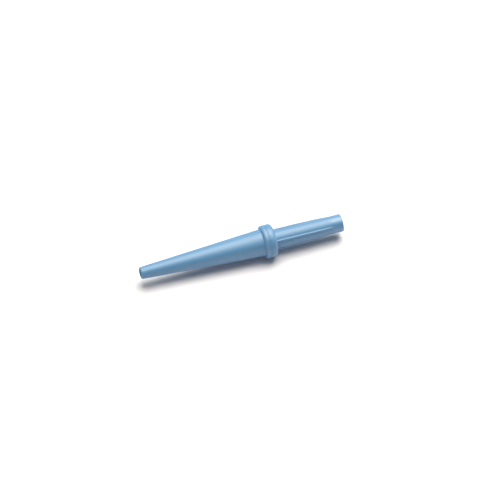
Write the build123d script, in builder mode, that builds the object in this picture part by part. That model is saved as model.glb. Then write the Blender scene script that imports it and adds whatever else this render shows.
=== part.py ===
"""Saliva ejector tip: a tapered suction nozzle that snaps onto a ribbed hose spigot and turns on it.

Millimetres. X runs along the bore, from the nozzle's mouth at -X to the hose end at +X.
The origin is on the bore's axis, at the rear face of the collar.
"""

from build123d import *
from math import radians, tan
import os

# Collar: one flange on each moulding, meeting at the swivel's seam
collar_length = 4.3
collar_radius = 5.8
collar_front_rounding = 0.85
collar_rear_rounding = 1.15
seam_from_front = 1.80
seam_gap = 0.03
seam_rounding = 0.10
crease_rounding = 0.15

# Nozzle
nozzle_length = 43.7
root_radius = 4.72
tip_radius = 2.10
lip_rounding = 0.52
mouth_radius = 1.5
mouth_length = 3.0
bore_edge_rounding = 0.07

# Tail of the spigot, which the hose is pushed over: drafted under the ribs, straight at its plain end
tail_length = 24.5
tail_radius = 3.1
tail_root_radius = 3.25
tail_edge_rounding = 0.3
bore_radius = 2.1

# Swivel: the spigot's sleeve runs in the nozzle's socket, held by a snap bead in a groove
sleeve_radius = 3.3
sleeve_reach = 12.9
sleeve_lead = 0.25
running_clearance = 0.05
socket_end_gap = 0.3
bead_height = 0.25
bead_centre = -10.35
bead_crest = 0.6
bead_catch = 0.2
bead_lead = 0.6
groove_clearance = 0.07

# Seal ring: a round rubber ring squeezed flat between the flanges
ring_section_radius = 0.5
ring_squeezed_width = 0.93
ring_fit = 0.02
ring_pocket_clearance = 0.08

# Grip ribs on the tail: widest and tallest at the collar, fading out before the plain end
rib_count = 4
rib_length = 20.9
rib_shoulder = 6.5
rib_knee = 17.0
rib_root_crest_radius = 3.66
rib_shoulder_crest_radius = 3.64
rib_knee_crest_radius = 3.44
rib_width_at_collar = 1.0
rib_width_at_end = 0.6
rib_draft = 20
rib_root_depth = 0.3
rib_collar_overlap = 1.0
rib_edge_rounding = 0.1
rib_angle = 54.0

# Places worked out from the sizes above
collar_front = -collar_length
mouth_x = collar_front - nozzle_length
nozzle_flange_rear = collar_front + seam_from_front
spigot_flange_front = nozzle_flange_rear + seam_gap
socket_radius = sleeve_radius + running_clearance
socket_end = -sleeve_reach - socket_end_gap
ring_centre_radius = sleeve_radius + ring_fit + ring_section_radius
pocket_radius = ring_centre_radius + ring_section_radius + ring_pocket_clearance
pocket_floor = spigot_flange_front - ring_squeezed_width - ring_fit


def snap_outline(base_radius, grow):
    """Four points of the snap bead in (x, radius), or of its groove when grow is more than 0."""
    half_crest = bead_crest / 2 + grow
    crest_radius = sleeve_radius + bead_height + grow
    return [
        (bead_centre - half_crest - bead_lead, base_radius),
        (bead_centre - half_crest, crest_radius),
        (bead_centre + half_crest, crest_radius),
        (bead_centre + half_crest + bead_catch, base_radius),
    ]


def round_corner(profile, x, radius, rounding):
    """Rounds the profile's corner nearest to (x, radius)."""
    corner = profile.vertices().sort_by_distance((x, radius, 0))[0]
    fillet(corner, radius=rounding)


# Nozzle: cone, front flange, mouth, tapering lumen, socket for the sleeve and pocket for the ring
with BuildPart() as nozzle:
    with BuildSketch(Plane.XZ) as nozzle_profile:
        with BuildLine():
            Polyline(
                (mouth_x, mouth_radius),
                (mouth_x, tip_radius),
                (collar_front, root_radius),
                (collar_front, collar_radius),
                (nozzle_flange_rear, collar_radius),
                (nozzle_flange_rear, pocket_radius),
                (pocket_floor, pocket_radius),
                (pocket_floor, socket_radius + sleeve_lead),
                (pocket_floor - sleeve_lead, socket_radius),
                *reversed(snap_outline(socket_radius, groove_clearance)),
                (socket_end, socket_radius),
                (socket_end, bore_radius),
                (mouth_x + mouth_length, mouth_radius),
                close=True,
            )
        make_face()
        round_corner(nozzle_profile, mouth_x, tip_radius, lip_rounding)
        round_corner(nozzle_profile, mouth_x, mouth_radius, bore_edge_rounding)
        round_corner(nozzle_profile, collar_front, root_radius, crease_rounding)
        round_corner(nozzle_profile, collar_front, collar_radius, collar_front_rounding)
        round_corner(nozzle_profile, nozzle_flange_rear, collar_radius, seam_rounding)
    revolve(axis=Axis.X)

# One grip rib, standing up along +Z: a drafted wedge cut to the rib's height curve
with BuildPart() as rib:
    root_widening = 2 * rib_root_depth * tan(radians(rib_draft))
    half_at_collar = (rib_width_at_collar + root_widening) / 2
    half_at_end = (rib_width_at_end + root_widening) / 2
    with BuildSketch(Plane.XY.offset(tail_radius - rib_root_depth)):
        with BuildLine():
            Polyline(
                (-rib_collar_overlap, -half_at_collar),
                (rib_length, -half_at_end),
                (rib_length, half_at_end),
                (-rib_collar_overlap, half_at_collar),
                close=True,
            )
        make_face()
    extrude(amount=rib_root_crest_radius - tail_radius + rib_root_depth, taper=rib_draft)
    with BuildSketch(Plane.XZ):
        with BuildLine():
            crest = Spline(
                (rib_shoulder, rib_shoulder_crest_radius),
                (rib_knee, rib_knee_crest_radius),
                (rib_length, tail_radius),
                tangents=[(1, 0), (1, -0.25)],
            )
            Polyline(
                crest @ 1,
                (rib_length, bore_radius),
                (-rib_collar_overlap, bore_radius),
                (-rib_collar_overlap, rib_root_crest_radius),
                crest @ 0,
            )
        make_face()
    revolve(axis=Axis.X, mode=Mode.INTERSECT)
    crest_edges = [e for e in rib.edges() if e.length > rib_shoulder * 0.9 and e.center().Z > tail_radius]
    fillet(crest_edges, radius=rib_edge_rounding)

# Spigot: sleeve with its snap bead, rear flange and tail, with one bore from end to end
with BuildPart() as spigot:
    with BuildSketch(Plane.XZ) as spigot_profile:
        with BuildLine():
            Polyline(
                (-sleeve_reach, bore_radius),
                (-sleeve_reach, sleeve_radius - sleeve_lead),
                (-sleeve_reach + sleeve_lead, sleeve_radius),
                *snap_outline(sleeve_radius, 0),
                (spigot_flange_front, sleeve_radius),
                (spigot_flange_front, collar_radius),
                (0, collar_radius),
                (0, tail_root_radius),
                (rib_length, tail_radius),
                (tail_length, tail_radius),
                (tail_length, bore_radius),
                close=True,
            )
        make_face()
        round_corner(spigot_profile, -sleeve_reach, bore_radius, bore_edge_rounding)
        round_corner(spigot_profile, spigot_flange_front, collar_radius, seam_rounding)
        round_corner(spigot_profile, 0, collar_radius, collar_rear_rounding)
        round_corner(spigot_profile, tail_length, tail_radius, tail_edge_rounding)
        round_corner(spigot_profile, tail_length, bore_radius, bore_edge_rounding)
    revolve(axis=Axis.X)

    # Ribs, added to the tail as turned copies of one
    for turn in range(rib_count):
        add(rib.part.rotate(Axis.X, rib_angle + turn * 360 / rib_count))

# Seal ring: a round section squeezed flat where it touches the flanges
with BuildPart() as seal_ring:
    with BuildSketch(Plane.XZ):
        with Locations((spigot_flange_front - ring_squeezed_width / 2, ring_centre_radius)):
            Circle(ring_section_radius)
            Rectangle(ring_squeezed_width, 2 * ring_section_radius, mode=Mode.INTERSECT)
    revolve(axis=Axis.X)

nozzle.part.label = "nozzle"
spigot.part.label = "spigot"
seal_ring.part.label = "seal_ring"

os.makedirs("parts", exist_ok=True)
export_step(nozzle.part, "parts/nozzle.step")
export_step(spigot.part, "parts/spigot.step")
export_step(seal_ring.part, "parts/seal_ring.step")
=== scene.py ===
from math import cos, pi, radians, sin, sqrt, tan

import bpy
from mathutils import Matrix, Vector


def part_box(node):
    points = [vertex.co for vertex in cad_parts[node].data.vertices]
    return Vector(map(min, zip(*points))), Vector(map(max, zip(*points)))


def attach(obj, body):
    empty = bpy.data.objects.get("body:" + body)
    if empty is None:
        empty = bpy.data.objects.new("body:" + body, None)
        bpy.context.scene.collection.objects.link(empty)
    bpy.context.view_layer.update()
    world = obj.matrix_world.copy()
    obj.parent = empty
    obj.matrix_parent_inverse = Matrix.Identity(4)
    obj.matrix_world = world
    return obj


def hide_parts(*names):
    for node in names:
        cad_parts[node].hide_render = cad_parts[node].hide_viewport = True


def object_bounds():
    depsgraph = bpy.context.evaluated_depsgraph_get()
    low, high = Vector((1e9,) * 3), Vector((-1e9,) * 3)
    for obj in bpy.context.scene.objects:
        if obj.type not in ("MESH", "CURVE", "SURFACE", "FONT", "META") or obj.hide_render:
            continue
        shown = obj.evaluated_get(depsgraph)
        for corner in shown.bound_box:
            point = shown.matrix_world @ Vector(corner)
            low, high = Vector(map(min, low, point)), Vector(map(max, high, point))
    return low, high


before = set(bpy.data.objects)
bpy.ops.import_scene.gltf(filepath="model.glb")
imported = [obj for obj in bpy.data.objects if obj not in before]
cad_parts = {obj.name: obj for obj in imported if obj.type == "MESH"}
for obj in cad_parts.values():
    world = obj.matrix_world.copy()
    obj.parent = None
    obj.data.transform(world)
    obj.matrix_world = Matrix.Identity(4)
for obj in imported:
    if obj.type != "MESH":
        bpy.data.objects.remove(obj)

cadBounds = [list(corner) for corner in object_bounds()]
mm = 0.001  # the pieces' dictionaries give millimetres, the meshes are in metres
mathNode = "ShaderNodeMath"
print("frame loaded")


def addNode(tree, kind, *values, sockets=None, **settings):
    # one node with its settings: an input takes a plain value, a socket, or the first output of another node
    node = tree.nodes.new(kind)
    for name, value in settings.items():
        setattr(node, name, value)
    for name, value in {**dict(enumerate(values)), **(sockets or {})}.items():
        if isinstance(value, bpy.types.Node):
            value = value.outputs[0]
        if isinstance(value, bpy.types.NodeSocket):
            tree.links.new(value, node.inputs[name])
        else:
            node.inputs[name].default_value = value
    return node


def linearColour(hexCode, alpha=1.0):
    # sRGB hex to the linear values that shaders take
    channels = [int(hexCode[i:i + 2], 16) / 255 for i in (1, 3, 5)]
    return [c / 12.92 if c <= 0.04045 else ((c + 0.055) / 1.055) ** 2.4 for c in channels] + [alpha]


def addObject(name, data):
    made = bpy.data.objects.new(name, data)
    bpy.context.scene.collection.objects.link(made)
    return made


def towards(start, end, distance):
    length = sqrt((end[0] - start[0]) ** 2 + (end[1] - start[1]) ** 2)
    share = distance / length
    return start[0] + (end[0] - start[0]) * share, start[1] + (end[1] - start[1]) * share


def roundedSection(corners, maxStep, arcStep=15.0, guard=0.04):
    # a closed wall section in (x, radius) from corners of (x, radius, rounding): round corners become arcs
    # with a guard point just past each end, which keeps flat faces flat when shaded smooth
    points = []
    count = len(corners)
    for i, (x, r, rounding) in enumerate(corners):
        before, after = corners[i - 1], corners[(i + 1) % count]
        toBefore = Vector((before[0] - x, before[1] - r)).normalized()
        toAfter = Vector((after[0] - x, after[1] - r)).normalized()
        halfAngle = toBefore.angle(toAfter) / 2
        setback = rounding / tan(halfAngle)
        centre = Vector((x, r)) + (toBefore + toAfter).normalized() * (rounding / sin(halfAngle))
        start = Vector((x, r)) + toBefore * setback
        end = Vector((x, r)) + toAfter * setback
        turn = pi - 2 * halfAngle
        steps = max(3, round(turn / radians(arcStep)))
        arm, last = start - centre, end - centre
        way = 1 if arm.x * last.y - arm.y * last.x > 0 else -1
        points.append(tuple(start + toBefore * guard))
        for k in range(steps + 1):
            a = way * turn * k / steps
            points.append((
                centre.x + arm.x * cos(a) - arm.y * sin(a),
                centre.y + arm.x * sin(a) + arm.y * cos(a),
            ))
        points.append(tuple(end + toAfter * guard))
    # long straight runs are cut into even steps
    section = []
    for i, point in enumerate(points):
        following = points[(i + 1) % len(points)]
        length = sqrt((following[0] - point[0]) ** 2 + (following[1] - point[1]) ** 2)
        parts = max(1, round(length / maxStep))
        for k in range(parts):
            section.append(towards(point, following, length * k / parts) if k else point)
    return section


# grip ribs on the tail
ribs = {
    "count": 4,
    "angle": 54.0,  # degrees from the top to the first rib
    "crowding": 0.6,  # how far the mesh's columns gather at the ribs
    "length": 20.9,
    "rootCrest": 3.66,
    "floor": 3.1,
    "rootWidth": 1.05,
    "endWidth": 0.65,
    "flank": 0.28,
    "heightCurve": [(0.0, 1.0), (0.31, 0.965), (0.62, 0.79), (0.81, 0.60), (0.93, 0.31), (1.0, 0.0)],
}
noRibs = {"Rib Count": 1, "Rib Crowding": 0.0, "Rib Length": 1.0 * mm}


def turnedTree(heightCurve, collarGap=1e-6, floorMargin=0.2 * mm, weldDistance=1e-7):
    # spins a wall section round the X axis and raises tapered ribs on it
    tree = bpy.data.node_groups.new("turnedMoulding", "GeometryNodeTree")
    tree.interface.new_socket("Geometry", in_out="OUTPUT", socket_type="NodeSocketGeometry")
    tree.interface.new_socket("Section", in_out="INPUT", socket_type="NodeSocketGeometry")
    for name, kind, value in (
        ("Segments", "NodeSocketInt", 192),
        ("Rib Count", "NodeSocketInt", 4),
        ("Rib Angle", "NodeSocketFloat", 0.0),
        ("Rib Crowding", "NodeSocketFloat", 0.0),
        ("Rib Length", "NodeSocketFloat", 0.0),
        ("Rib Root Crest", "NodeSocketFloat", 0.0),
        ("Rib Floor", "NodeSocketFloat", 0.0),
        ("Rib Root Width", "NodeSocketFloat", 0.001),
        ("Rib End Width", "NodeSocketFloat", 0.001),
        ("Rib Flank", "NodeSocketFloat", 0.001),
    ):
        tree.interface.new_socket(name, in_out="INPUT", socket_type=kind).default_value = value
    tree.interface.new_socket("Material", in_out="INPUT", socket_type="NodeSocketMaterial")
    group = addNode(tree, "NodeGroupInput").outputs
    ribFloor, rootCrest, ribLength = group["Rib Floor"], group["Rib Root Crest"], group["Rib Length"]

    # a grid with a row for each point of the section and a column for each segment,
    # and one more of each that meets the first and is welded to it at the end
    sectionSize = addNode(tree, "GeometryNodeAttributeDomainSize", group["Section"], component="MESH")
    sectionCount = sectionSize.outputs["Point Count"]
    rows = addNode(tree, mathNode, sectionCount, 1, operation="ADD")
    columns = addNode(tree, mathNode, group["Segments"], 1, operation="ADD")
    grid = addNode(tree, "GeometryNodeMeshGrid", sockets={"Vertices X": rows, "Vertices Y": columns})
    index = addNode(tree, "GeometryNodeInputIndex")
    midIndex = addNode(tree, mathNode, index, 0.5, operation="ADD")
    rowPlace = addNode(tree, mathNode, midIndex, columns, operation="DIVIDE")
    row = addNode(tree, mathNode, rowPlace, operation="FLOOR")
    column = addNode(tree, mathNode, index, columns, operation="FLOORED_MODULO")
    sectionPoint = addNode(
        tree,
        "GeometryNodeSampleIndex",
        sockets={
            "Geometry": group["Section"],
            "Value": addNode(tree, "GeometryNodeInputPosition"),
            "Index": addNode(tree, mathNode, row, sectionCount, operation="FLOORED_MODULO"),
        },
        data_type="FLOAT_VECTOR",
    )
    place = addNode(tree, "ShaderNodeSeparateXYZ", sectionPoint.outputs["Value"]).outputs
    along, radius = place["X"], place["Z"]

    # columns crowd together at the ribs, so that their flanks are finely divided
    turnShare = addNode(tree, mathNode, column, group["Segments"], operation="DIVIDE")
    even = addNode(tree, mathNode, turnShare, 2 * pi, operation="MULTIPLY")
    waveTurn = addNode(tree, mathNode, even, group["Rib Count"], operation="MULTIPLY")
    waveHeight = addNode(tree, mathNode, waveTurn, operation="SINE")
    wave = addNode(tree, mathNode, waveHeight, group["Rib Count"], operation="DIVIDE")
    gather = addNode(tree, mathNode, wave, group["Rib Crowding"], operation="MULTIPLY")
    crowded = addNode(tree, mathNode, even, gather, operation="SUBTRACT")

    # distance round the surface to the middle of the nearest rib
    pitch = addNode(tree, mathNode, 2 * pi, group["Rib Count"], operation="DIVIDE")
    halfPitch = addNode(tree, mathNode, pitch, 2.0, operation="DIVIDE")
    ahead = addNode(tree, mathNode, crowded, halfPitch, operation="ADD")
    inPitch = addNode(tree, mathNode, ahead, pitch, operation="FLOORED_MODULO")
    aside = addNode(tree, mathNode, inPitch, halfPitch, operation="SUBTRACT")
    turnAside = addNode(tree, mathNode, aside, operation="ABSOLUTE")
    distance = addNode(tree, mathNode, turnAside, radius, operation="MULTIPLY")

    # rib height along its length: nearly level, then falling away to nothing
    share = addNode(tree, mathNode, along, ribLength, operation="DIVIDE", use_clamp=True)
    curve = addNode(tree, "ShaderNodeFloatCurve", sockets={"Value": share})
    points = curve.mapping.curves[0].points
    for position, height in heightCurve[1:-1]:
        points.new(position, height)
    points[0].location = heightCurve[0]
    points[-1].location = heightCurve[-1]
    curve.mapping.update()
    fullRise = addNode(tree, mathNode, rootCrest, ribFloor, operation="SUBTRACT")
    rise = addNode(tree, mathNode, fullRise, curve, operation="MULTIPLY")
    crest = addNode(tree, mathNode, ribFloor, rise, operation="ADD")

    # rib shape across: flat crest, sloping flanks with soft edges
    halfRoot = addNode(tree, mathNode, group["Rib Root Width"], 2.0, operation="DIVIDE")
    halfEnd = addNode(tree, mathNode, group["Rib End Width"], 2.0, operation="DIVIDE")
    halfWidth = addNode(tree, "ShaderNodeMapRange", share, 0.0, 1.0, halfRoot, halfEnd)
    reach = addNode(tree, mathNode, halfWidth, distance, operation="SUBTRACT")
    inside = addNode(tree, mathNode, reach, group["Rib Flank"], operation="DIVIDE", use_clamp=True)
    across = addNode(tree, "ShaderNodeMapRange", inside, interpolation_type="SMOOTHSTEP")

    # ribs rise only from the tail's outer face, between the collar and the plain end
    pastCollar = addNode(tree, mathNode, along, -collarGap, operation="GREATER_THAN")
    beforeEnd = addNode(tree, mathNode, along, ribLength, operation="LESS_THAN")
    lowest = addNode(tree, mathNode, ribFloor, floorMargin, operation="SUBTRACT")
    aboveBore = addNode(tree, mathNode, radius, lowest, operation="GREATER_THAN")
    belowCrest = addNode(tree, mathNode, radius, rootCrest, operation="LESS_THAN")
    onLength = addNode(tree, mathNode, pastCollar, beforeEnd, operation="MULTIPLY")
    onFace = addNode(tree, mathNode, aboveBore, belowCrest, operation="MULTIPLY")
    onTail = addNode(tree, mathNode, onLength, onFace, operation="MULTIPLY")
    step = addNode(tree, mathNode, crest, radius, operation="SUBTRACT")
    lift = addNode(tree, mathNode, step, 0.0, operation="MAXIMUM")
    shapedLift = addNode(tree, mathNode, lift, across, operation="MULTIPLY")
    tailLift = addNode(tree, mathNode, shapedLift, onTail, operation="MULTIPLY")
    ribbed = addNode(tree, mathNode, radius, tailLift, operation="ADD")

    turn = addNode(tree, mathNode, crowded, group["Rib Angle"], operation="ADD")
    sineTurn = addNode(tree, mathNode, turn, operation="SINE")
    cosineTurn = addNode(tree, mathNode, turn, operation="COSINE")
    sideways = addNode(tree, mathNode, ribbed, sineTurn, operation="MULTIPLY")
    towardsFront = addNode(tree, mathNode, sideways, -1.0, operation="MULTIPLY")
    upwards = addNode(tree, mathNode, ribbed, cosineTurn, operation="MULTIPLY")
    spunPlace = addNode(tree, "ShaderNodeCombineXYZ", along, towardsFront, upwards)
    spun = addNode(tree, "GeometryNodeSetPosition", sockets={"Geometry": grid, "Position": spunPlace})
    closed = addNode(
        tree, "GeometryNodeMergeByDistance", sockets={"Geometry": spun, "Distance": weldDistance}
    )
    outward = addNode(tree, "GeometryNodeFlipFaces", sockets={"Mesh": closed})
    smooth = addNode(tree, "GeometryNodeSetShadeSmooth", sockets={"Geometry": outward})
    real = addNode(tree, "GeometryNodeRealizeInstances", sockets={"Geometry": smooth})
    painted = addNode(
        tree, "GeometryNodeSetMaterial", sockets={"Geometry": real, "Material": group["Material"]}
    )
    addNode(tree, "NodeGroupOutput", painted)
    return tree


def turnedPiece(name, section, tree, sizes, material, body, node):
    # runs the tree on a section, keeps the result as a plain closed mesh,
    # and puts that in place of its CAD node
    sectionMesh = bpy.data.meshes.new(name + "Section")
    sectionMesh.from_pydata([(x * mm, 0.0, r * mm) for x, r in section], [], [])
    blank = addObject(name + "Section", sectionMesh)
    modifier = blank.modifiers.new("turned", "NODES")
    modifier.node_group = tree
    named = {item.name: item.identifier for item in tree.interface.items_tree if item.in_out == "INPUT"}
    for key, value in {**sizes, "Material": material}.items():
        modifier[named[key]] = value
    bpy.context.view_layer.update()
    evaluated = blank.evaluated_get(bpy.context.evaluated_depsgraph_get())
    mesh = bpy.data.meshes.new_from_object(evaluated)
    mesh.name = name
    bpy.data.objects.remove(blank)  # the modifier goes with it
    piece = addObject(name, mesh)
    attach(piece, body)
    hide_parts(node)
    print(f"{name}: {len(mesh.polygons)} faces")


plasticFinish = {
    "colour": "#447ba6",
    "satinRoughness": 0.56,
    "glossRoughness": 0.47,
    "polishedRun": 1.0,  # mm over which the satin turns glossy
    "ior": 1.9,  # above the resin's own 1.49, for a brighter sheen
    "grain": 0.25,  # mm, the spark-eroded texture of the mould, drawn coarse enough to show
    "grainDetail": 1.0,
    "grainDepth": 0.012,
    "grainSheen": 0.05,  # roughness either way from grain to grain
    "cloud": 7.0,  # mm, slow drift of the pigment
    "cloudDetail": 2.0,
    "cloudContrast": 0.03,
    "bump": 0.3,
}


def mouldedPlastic(name, polishedFrom=None):
    # injection-moulded polypropylene: even colour with a slow pigment drift,
    # and the mould's fine grain in its sheen
    finish = plasticFinish
    material = bpy.data.materials.new(name)
    material.use_nodes = True
    tree = material.node_tree
    tree.nodes.clear()
    objectPlace = addNode(tree, "ShaderNodeTexCoord").outputs["Object"]
    cloud = addNode(
        tree,
        "ShaderNodeTexNoise",
        sockets={
            "Vector": objectPlace,
            "Scale": 1 / (finish["cloud"] * mm),
            "Detail": finish["cloudDetail"],
        },
    )
    grain = addNode(
        tree,
        "ShaderNodeTexNoise",
        sockets={
            "Vector": objectPlace,
            "Scale": 1 / (finish["grain"] * mm),
            "Detail": finish["grainDetail"],
        },
    )
    contrast, spread = finish["cloudContrast"], finish["grainSheen"]
    brightness = addNode(tree, "ShaderNodeMapRange", cloud, 0.0, 1.0, 1 - contrast, 1 + contrast)
    tint = addNode(
        tree,
        "ShaderNodeHueSaturation",
        sockets={"Color": linearColour(finish["colour"]), "Value": brightness},
    )
    roughness = finish["satinRoughness"]
    if polishedFrom is not None:
        roughness = addNode(
            tree,
            "ShaderNodeMapRange",
            addNode(tree, "ShaderNodeSeparateXYZ", objectPlace),
            polishedFrom * mm,
            (polishedFrom + finish["polishedRun"]) * mm,
            finish["satinRoughness"],
            finish["glossRoughness"],
        )
    speckle = addNode(tree, "ShaderNodeMapRange", grain, 0.0, 1.0, -spread, spread)
    sheen = addNode(tree, mathNode, roughness, speckle, operation="ADD")
    bump = addNode(
        tree,
        "ShaderNodeBump",
        sockets={"Height": grain, "Strength": finish["bump"], "Distance": finish["grainDepth"] * mm},
    )
    shader = addNode(
        tree,
        "ShaderNodeBsdfPrincipled",
        sockets={"Base Color": tint, "Roughness": sheen, "IOR": finish["ior"], "Normal": bump},
    )
    addNode(tree, "ShaderNodeOutputMaterial", sockets={"Surface": shader})
    return material


siliconeFinish = {
    "colour": "#c9cfd2",
    "roughness": 0.55,
    "ior": 1.41,
    "dust": 0.3,  # mm, the talc-like bloom on the rubber, drawn coarse enough to show
    "dustDetail": 3.0,
    "dustContrast": 0.05,
    "dustDepth": 0.01,
    "bump": 0.3,
}


def mouldedSilicone(name):
    # compression-moulded silicone rubber: milky grey and soft in its shine
    finish = siliconeFinish
    material = bpy.data.materials.new(name)
    material.use_nodes = True
    tree = material.node_tree
    tree.nodes.clear()
    objectPlace = addNode(tree, "ShaderNodeTexCoord").outputs["Object"]
    dust = addNode(
        tree,
        "ShaderNodeTexNoise",
        sockets={
            "Vector": objectPlace,
            "Scale": 1 / (finish["dust"] * mm),
            "Detail": finish["dustDetail"],
        },
    )
    contrast = finish["dustContrast"]
    milk = addNode(tree, "ShaderNodeMapRange", dust, 0.0, 1.0, 1 - contrast, 1 + contrast)
    tint = addNode(
        tree,
        "ShaderNodeHueSaturation",
        sockets={"Color": linearColour(finish["colour"]), "Value": milk},
    )
    bump = addNode(
        tree,
        "ShaderNodeBump",
        sockets={"Height": dust, "Strength": finish["bump"], "Distance": finish["dustDepth"] * mm},
    )
    shader = addNode(
        tree,
        "ShaderNodeBsdfPrincipled",
        sockets={
            "Base Color": tint,
            "Roughness": finish["roughness"],
            "IOR": finish["ior"],
            "Normal": bump,
        },
    )
    addNode(tree, "ShaderNodeOutputMaterial", sockets={"Surface": shader})
    return material


tree = turnedTree(ribs["heightCurve"])
satin = mouldedPlastic("mouldedPolypropyleneSatin")
gloss = mouldedPlastic("mouldedPolypropylenePolishedEnd", ribs["length"] - plasticFinish["polishedRun"])
silicone = mouldedSilicone("mouldedSilicone")
print("tree and materials made")

nozzleBox, spigotBox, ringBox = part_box("nozzle"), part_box("spigot"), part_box("seal_ring")

# snap bead on the spigot's sleeve, and its groove in the nozzle's socket
snap = {
    "centre": -10.35,
    "crestLength": 0.6,
    "lead": 0.6,
    "catch": 0.2,
    "height": 0.25,
    "grooveClearance": 0.07,
    "sleeveRadius": 3.3,
    "edge": 0.03,  # rounding of the hidden edges inside the swivel
}


def snapCorners(baseRadius, grow):
    # the bead's four corners, or its groove's when grow is more than 0
    halfCrest = snap["crestLength"] / 2 + grow
    crestRadius = snap["sleeveRadius"] + snap["height"] + grow
    return [
        (snap["centre"] - halfCrest - snap["lead"], baseRadius, snap["edge"]),
        (snap["centre"] - halfCrest, crestRadius, snap["edge"]),
        (snap["centre"] + halfCrest, crestRadius, snap["edge"]),
        (snap["centre"] + halfCrest + snap["catch"], baseRadius, snap["edge"]),
    ]


nozzle = {
    "mouthX": nozzleBox[0].x / mm,
    "flangeRear": nozzleBox[1].x / mm,
    "collarRadius": nozzleBox[1].z / mm,
    "collarFront": -4.3,
    "rootRadius": 4.72,
    "tipRadius": 2.10,
    "mouthRadius": 1.5,
    "mouthLength": 3.0,
    "lumenRadius": 2.1,
    "socketRadius": 3.35,
    "socketEnd": -13.2,
    "socketLead": 0.25,
    "pocketRadius": 4.40,
    "pocketFloor": -3.42,
    "boreEdge": 0.07,  # the values from here to throatRounding round its corners
    "lipRounding": 0.52,
    "creaseRounding": 0.15,
    "collarRounding": 0.85,
    "seamRounding": 0.10,
    "throatRounding": 0.5,
    "segments": 256,
    "sectionStep": 1.2,
}
nozzleCorners = [
    (nozzle["mouthX"], nozzle["mouthRadius"], nozzle["boreEdge"]),
    (nozzle["mouthX"], nozzle["tipRadius"], nozzle["lipRounding"]),
    (nozzle["collarFront"], nozzle["rootRadius"], nozzle["creaseRounding"]),
    (nozzle["collarFront"], nozzle["collarRadius"], nozzle["collarRounding"]),
    (nozzle["flangeRear"], nozzle["collarRadius"], nozzle["seamRounding"]),
    (nozzle["flangeRear"], nozzle["pocketRadius"], snap["edge"]),
    (nozzle["pocketFloor"], nozzle["pocketRadius"], snap["edge"]),
    (nozzle["pocketFloor"], nozzle["socketRadius"] + nozzle["socketLead"], snap["edge"]),
    (nozzle["pocketFloor"] - nozzle["socketLead"], nozzle["socketRadius"], snap["edge"]),
    *reversed(snapCorners(nozzle["socketRadius"], snap["grooveClearance"])),
    (nozzle["socketEnd"], nozzle["socketRadius"], snap["edge"]),
    (nozzle["socketEnd"], nozzle["lumenRadius"], snap["edge"]),
    (nozzle["mouthX"] + nozzle["mouthLength"], nozzle["mouthRadius"], nozzle["throatRounding"]),
]
turnedPiece(
    "nozzle_moulding",
    roundedSection(nozzleCorners, nozzle["sectionStep"]),
    tree,
    {"Segments": nozzle["segments"], **noRibs},
    satin,
    "nozzle",
    "nozzle",
)

spigot = {
    "sleeveFront": spigotBox[0].x / mm,
    "tailEnd": spigotBox[1].x / mm,
    "collarRadius": spigotBox[1].z / mm,
    "flangeFront": -2.47,
    "sleeveLead": 0.25,
    "boreRadius": 2.1,
    "tailRadius": 3.1,
    "tailRootRadius": 3.25,
    "boreEdge": 0.10,  # the values from here to tailEdge round its corners
    "flangeCrease": 0.05,
    "seamRounding": 0.10,
    "collarRounding": 1.15,
    "tailCrease": 0.12,
    "plainEndBend": 0.5,
    "tailEdge": 0.30,
    "segments": 192,
    "sectionStep": 0.6,
}
spigotCorners = [
    (spigot["sleeveFront"], spigot["boreRadius"], spigot["boreEdge"]),
    (spigot["sleeveFront"], snap["sleeveRadius"] - spigot["sleeveLead"], snap["edge"]),
    (spigot["sleeveFront"] + spigot["sleeveLead"], snap["sleeveRadius"], snap["edge"]),
    *snapCorners(snap["sleeveRadius"], 0.0),
    (spigot["flangeFront"], snap["sleeveRadius"], spigot["flangeCrease"]),
    (spigot["flangeFront"], spigot["collarRadius"], spigot["seamRounding"]),
    (0.0, spigot["collarRadius"], spigot["collarRounding"]),
    (0.0, spigot["tailRootRadius"], spigot["tailCrease"]),
    (ribs["length"], spigot["tailRadius"], spigot["plainEndBend"]),
    (spigot["tailEnd"], spigot["tailRadius"], spigot["tailEdge"]),
    (spigot["tailEnd"], spigot["boreRadius"], spigot["boreEdge"]),
]
turnedPiece(
    "spigot_moulding",
    roundedSection(spigotCorners, spigot["sectionStep"]),
    tree,
    {
        "Segments": spigot["segments"],
        "Rib Count": ribs["count"],
        "Rib Angle": radians(ribs["angle"]),
        "Rib Crowding": ribs["crowding"],
        "Rib Length": ribs["length"] * mm,
        "Rib Root Crest": ribs["rootCrest"] * mm,
        "Rib Floor": ribs["floor"] * mm,
        "Rib Root Width": ribs["rootWidth"] * mm,
        "Rib End Width": ribs["endWidth"] * mm,
        "Rib Flank": ribs["flank"] * mm,
    },
    gloss,
    "spigot",
    "spigot",
)

ring = {
    "front": ringBox[0].x / mm,
    "rear": ringBox[1].x / mm,
    "outerRadius": ringBox[1].z / mm,
    "innerRadius": 3.32,
    "rounding": 0.40,
    "segments": 128,
    "sectionStep": 0.6,
}
ringCorners = [
    (ring["front"], ring["innerRadius"], ring["rounding"]),
    (ring["front"], ring["outerRadius"], ring["rounding"]),
    (ring["rear"], ring["outerRadius"], ring["rounding"]),
    (ring["rear"], ring["innerRadius"], ring["rounding"]),
]
turnedPiece(
    "seal_ring_moulding",
    roundedSection(ringCorners, ring["sectionStep"], guard=0.01),
    tree,
    {"Segments": ring["segments"], **noRibs},
    silicone,
    "spigot",
    "seal_ring",
)

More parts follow.
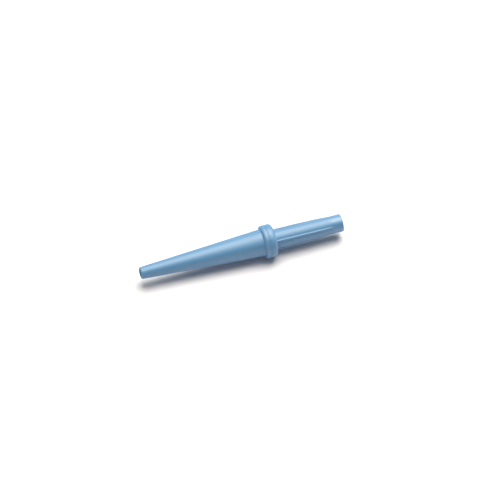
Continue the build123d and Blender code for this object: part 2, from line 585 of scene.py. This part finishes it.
# lengths here are in metres, angles in degrees
studio = {
    "keyPower": 8.6,
    "keySize": 0.58,
    "keyHeight": 0.6,
    "keyLean": 15.0,  # from overhead towards the back
    "keyAside": 10.0,  # from overhead towards the right
    "keyColour": "#fffaef",
    "leftCardPower": 0.35,
    "rightCardPower": 0.35,
    "cardSize": (0.3, 0.08),
    "cardDistance": 0.4,
    "cardRise": 0.1,  # how far the cards sit up and to the front, as a share of their distance aside
    "worldZenith": 0.03,
    "worldHorizon": 1.1,
    "horizonHeight": 0.2,
    "backRise": 0.15,  # how much higher the bright horizon reaches behind the piece
    "floorColour": "#e3e3e9",
    "floorHalf": 1.5,
}

half = studio["floorHalf"]
floorZ = cadBounds[0][2]
floorMesh = bpy.data.meshes.new("floor")
floorCorners = [(-half, -half, floorZ), (half, -half, floorZ), (half, half, floorZ), (-half, half, floorZ)]
floorMesh.from_pydata(floorCorners, [], [(0, 1, 2, 3)])
floor = addObject("floor", floorMesh)
paper = bpy.data.materials.new("mattPaper")  # uncoated paper: no shine at all
paper.use_nodes = True
paperShader = paper.node_tree.nodes["Principled BSDF"]
paperShader.inputs["Base Color"].default_value = linearColour(studio["floorColour"])
paperShader.inputs["Roughness"].default_value = 1.0
paperShader.inputs["Specular IOR Level"].default_value = 0.0
floorMesh.materials.append(paper)


def addPanel(name, direction, distance, size, power, colour=(1.0, 1.0, 1.0)):
    # a flat light that faces the piece, unseen by the camera
    light = bpy.data.lights.new(name, "AREA")
    light.shape = "RECTANGLE"
    light.size, light.size_y = size
    light.energy = power
    light.color = colour
    panel = addObject(name, light)
    panel.location = direction * distance
    panel.rotation_mode = "QUATERNION"
    panel.rotation_quaternion = direction.to_track_quat("Z", "Y")
    panel.visible_camera = False


lean = radians(studio["keyLean"])
keyDirection = Vector((tan(radians(studio["keyAside"])), sin(lean), cos(lean))).normalized()
keyColour = linearColour(studio["keyColour"])[:3]
addPanel("key", keyDirection, studio["keyHeight"], [studio["keySize"]] * 2, studio["keyPower"], keyColour)
for side, power in ((-1, studio["leftCardPower"]), (1, studio["rightCardPower"])):
    cardDirection = Vector((side, -studio["cardRise"], studio["cardRise"])).normalized()
    addPanel("card", cardDirection, studio["cardDistance"], studio["cardSize"], power)

world = bpy.data.worlds.new("whiteRoom")
world.use_nodes = True
room = world.node_tree
room.nodes.clear()
sky = addNode(room, "ShaderNodeSeparateXYZ", addNode(room, "ShaderNodeTexCoord").outputs["Generated"]).outputs
behind = addNode(room, mathNode, sky["Y"], 0.0, operation="MAXIMUM")
height = addNode(room, mathNode, behind, -studio["backRise"], sky["Z"], operation="MULTIPLY_ADD")
strength = addNode(
    room,
    "ShaderNodeMapRange",
    height,
    0.0,
    studio["horizonHeight"],
    studio["worldHorizon"],
    studio["worldZenith"],
)
glow = addNode(room, "ShaderNodeBackground", (1, 1, 1, 1), strength)
addNode(room, "ShaderNodeOutputWorld", sockets={"Surface": glow})
bpy.context.scene.world = world
print("studio set")

shot = {
    "azimuth": -17.8,
    "elevation": 52.0,
    "lens": 250.0,
    "viewWidth": 172.0,  # mm across the view at the object
    "aside": -8.23,  # mm from the origin to the view's middle, to the right
    "above": -3.59,  # and upwards
    "clipStart": 0.01,  # metres, as is the next
    "clipEnd": 10.0,
}
cameraData = bpy.data.cameras.new("camera")
cameraData.lens = shot["lens"]
cameraData.clip_start, cameraData.clip_end = shot["clipStart"], shot["clipEnd"]
camera = addObject("camera", cameraData)
az, el = radians(shot["azimuth"]), radians(shot["elevation"])
back = Vector((sin(az) * cos(el), -cos(az) * cos(el), sin(el)))
right = Vector((cos(az), sin(az), 0.0))
up = back.cross(right)
target = (right * shot["aside"] + up * shot["above"]) * mm
distance = shot["viewWidth"] * mm * shot["lens"] / cameraData.sensor_width
camera.location = target + back * distance
camera.rotation_mode = "QUATERNION"
camera.rotation_quaternion = (-back).to_track_quat("-Z", "Y")
bpy.context.scene.camera = camera
bpy.context.scene.view_settings.view_transform = "Standard"
print("camera set")
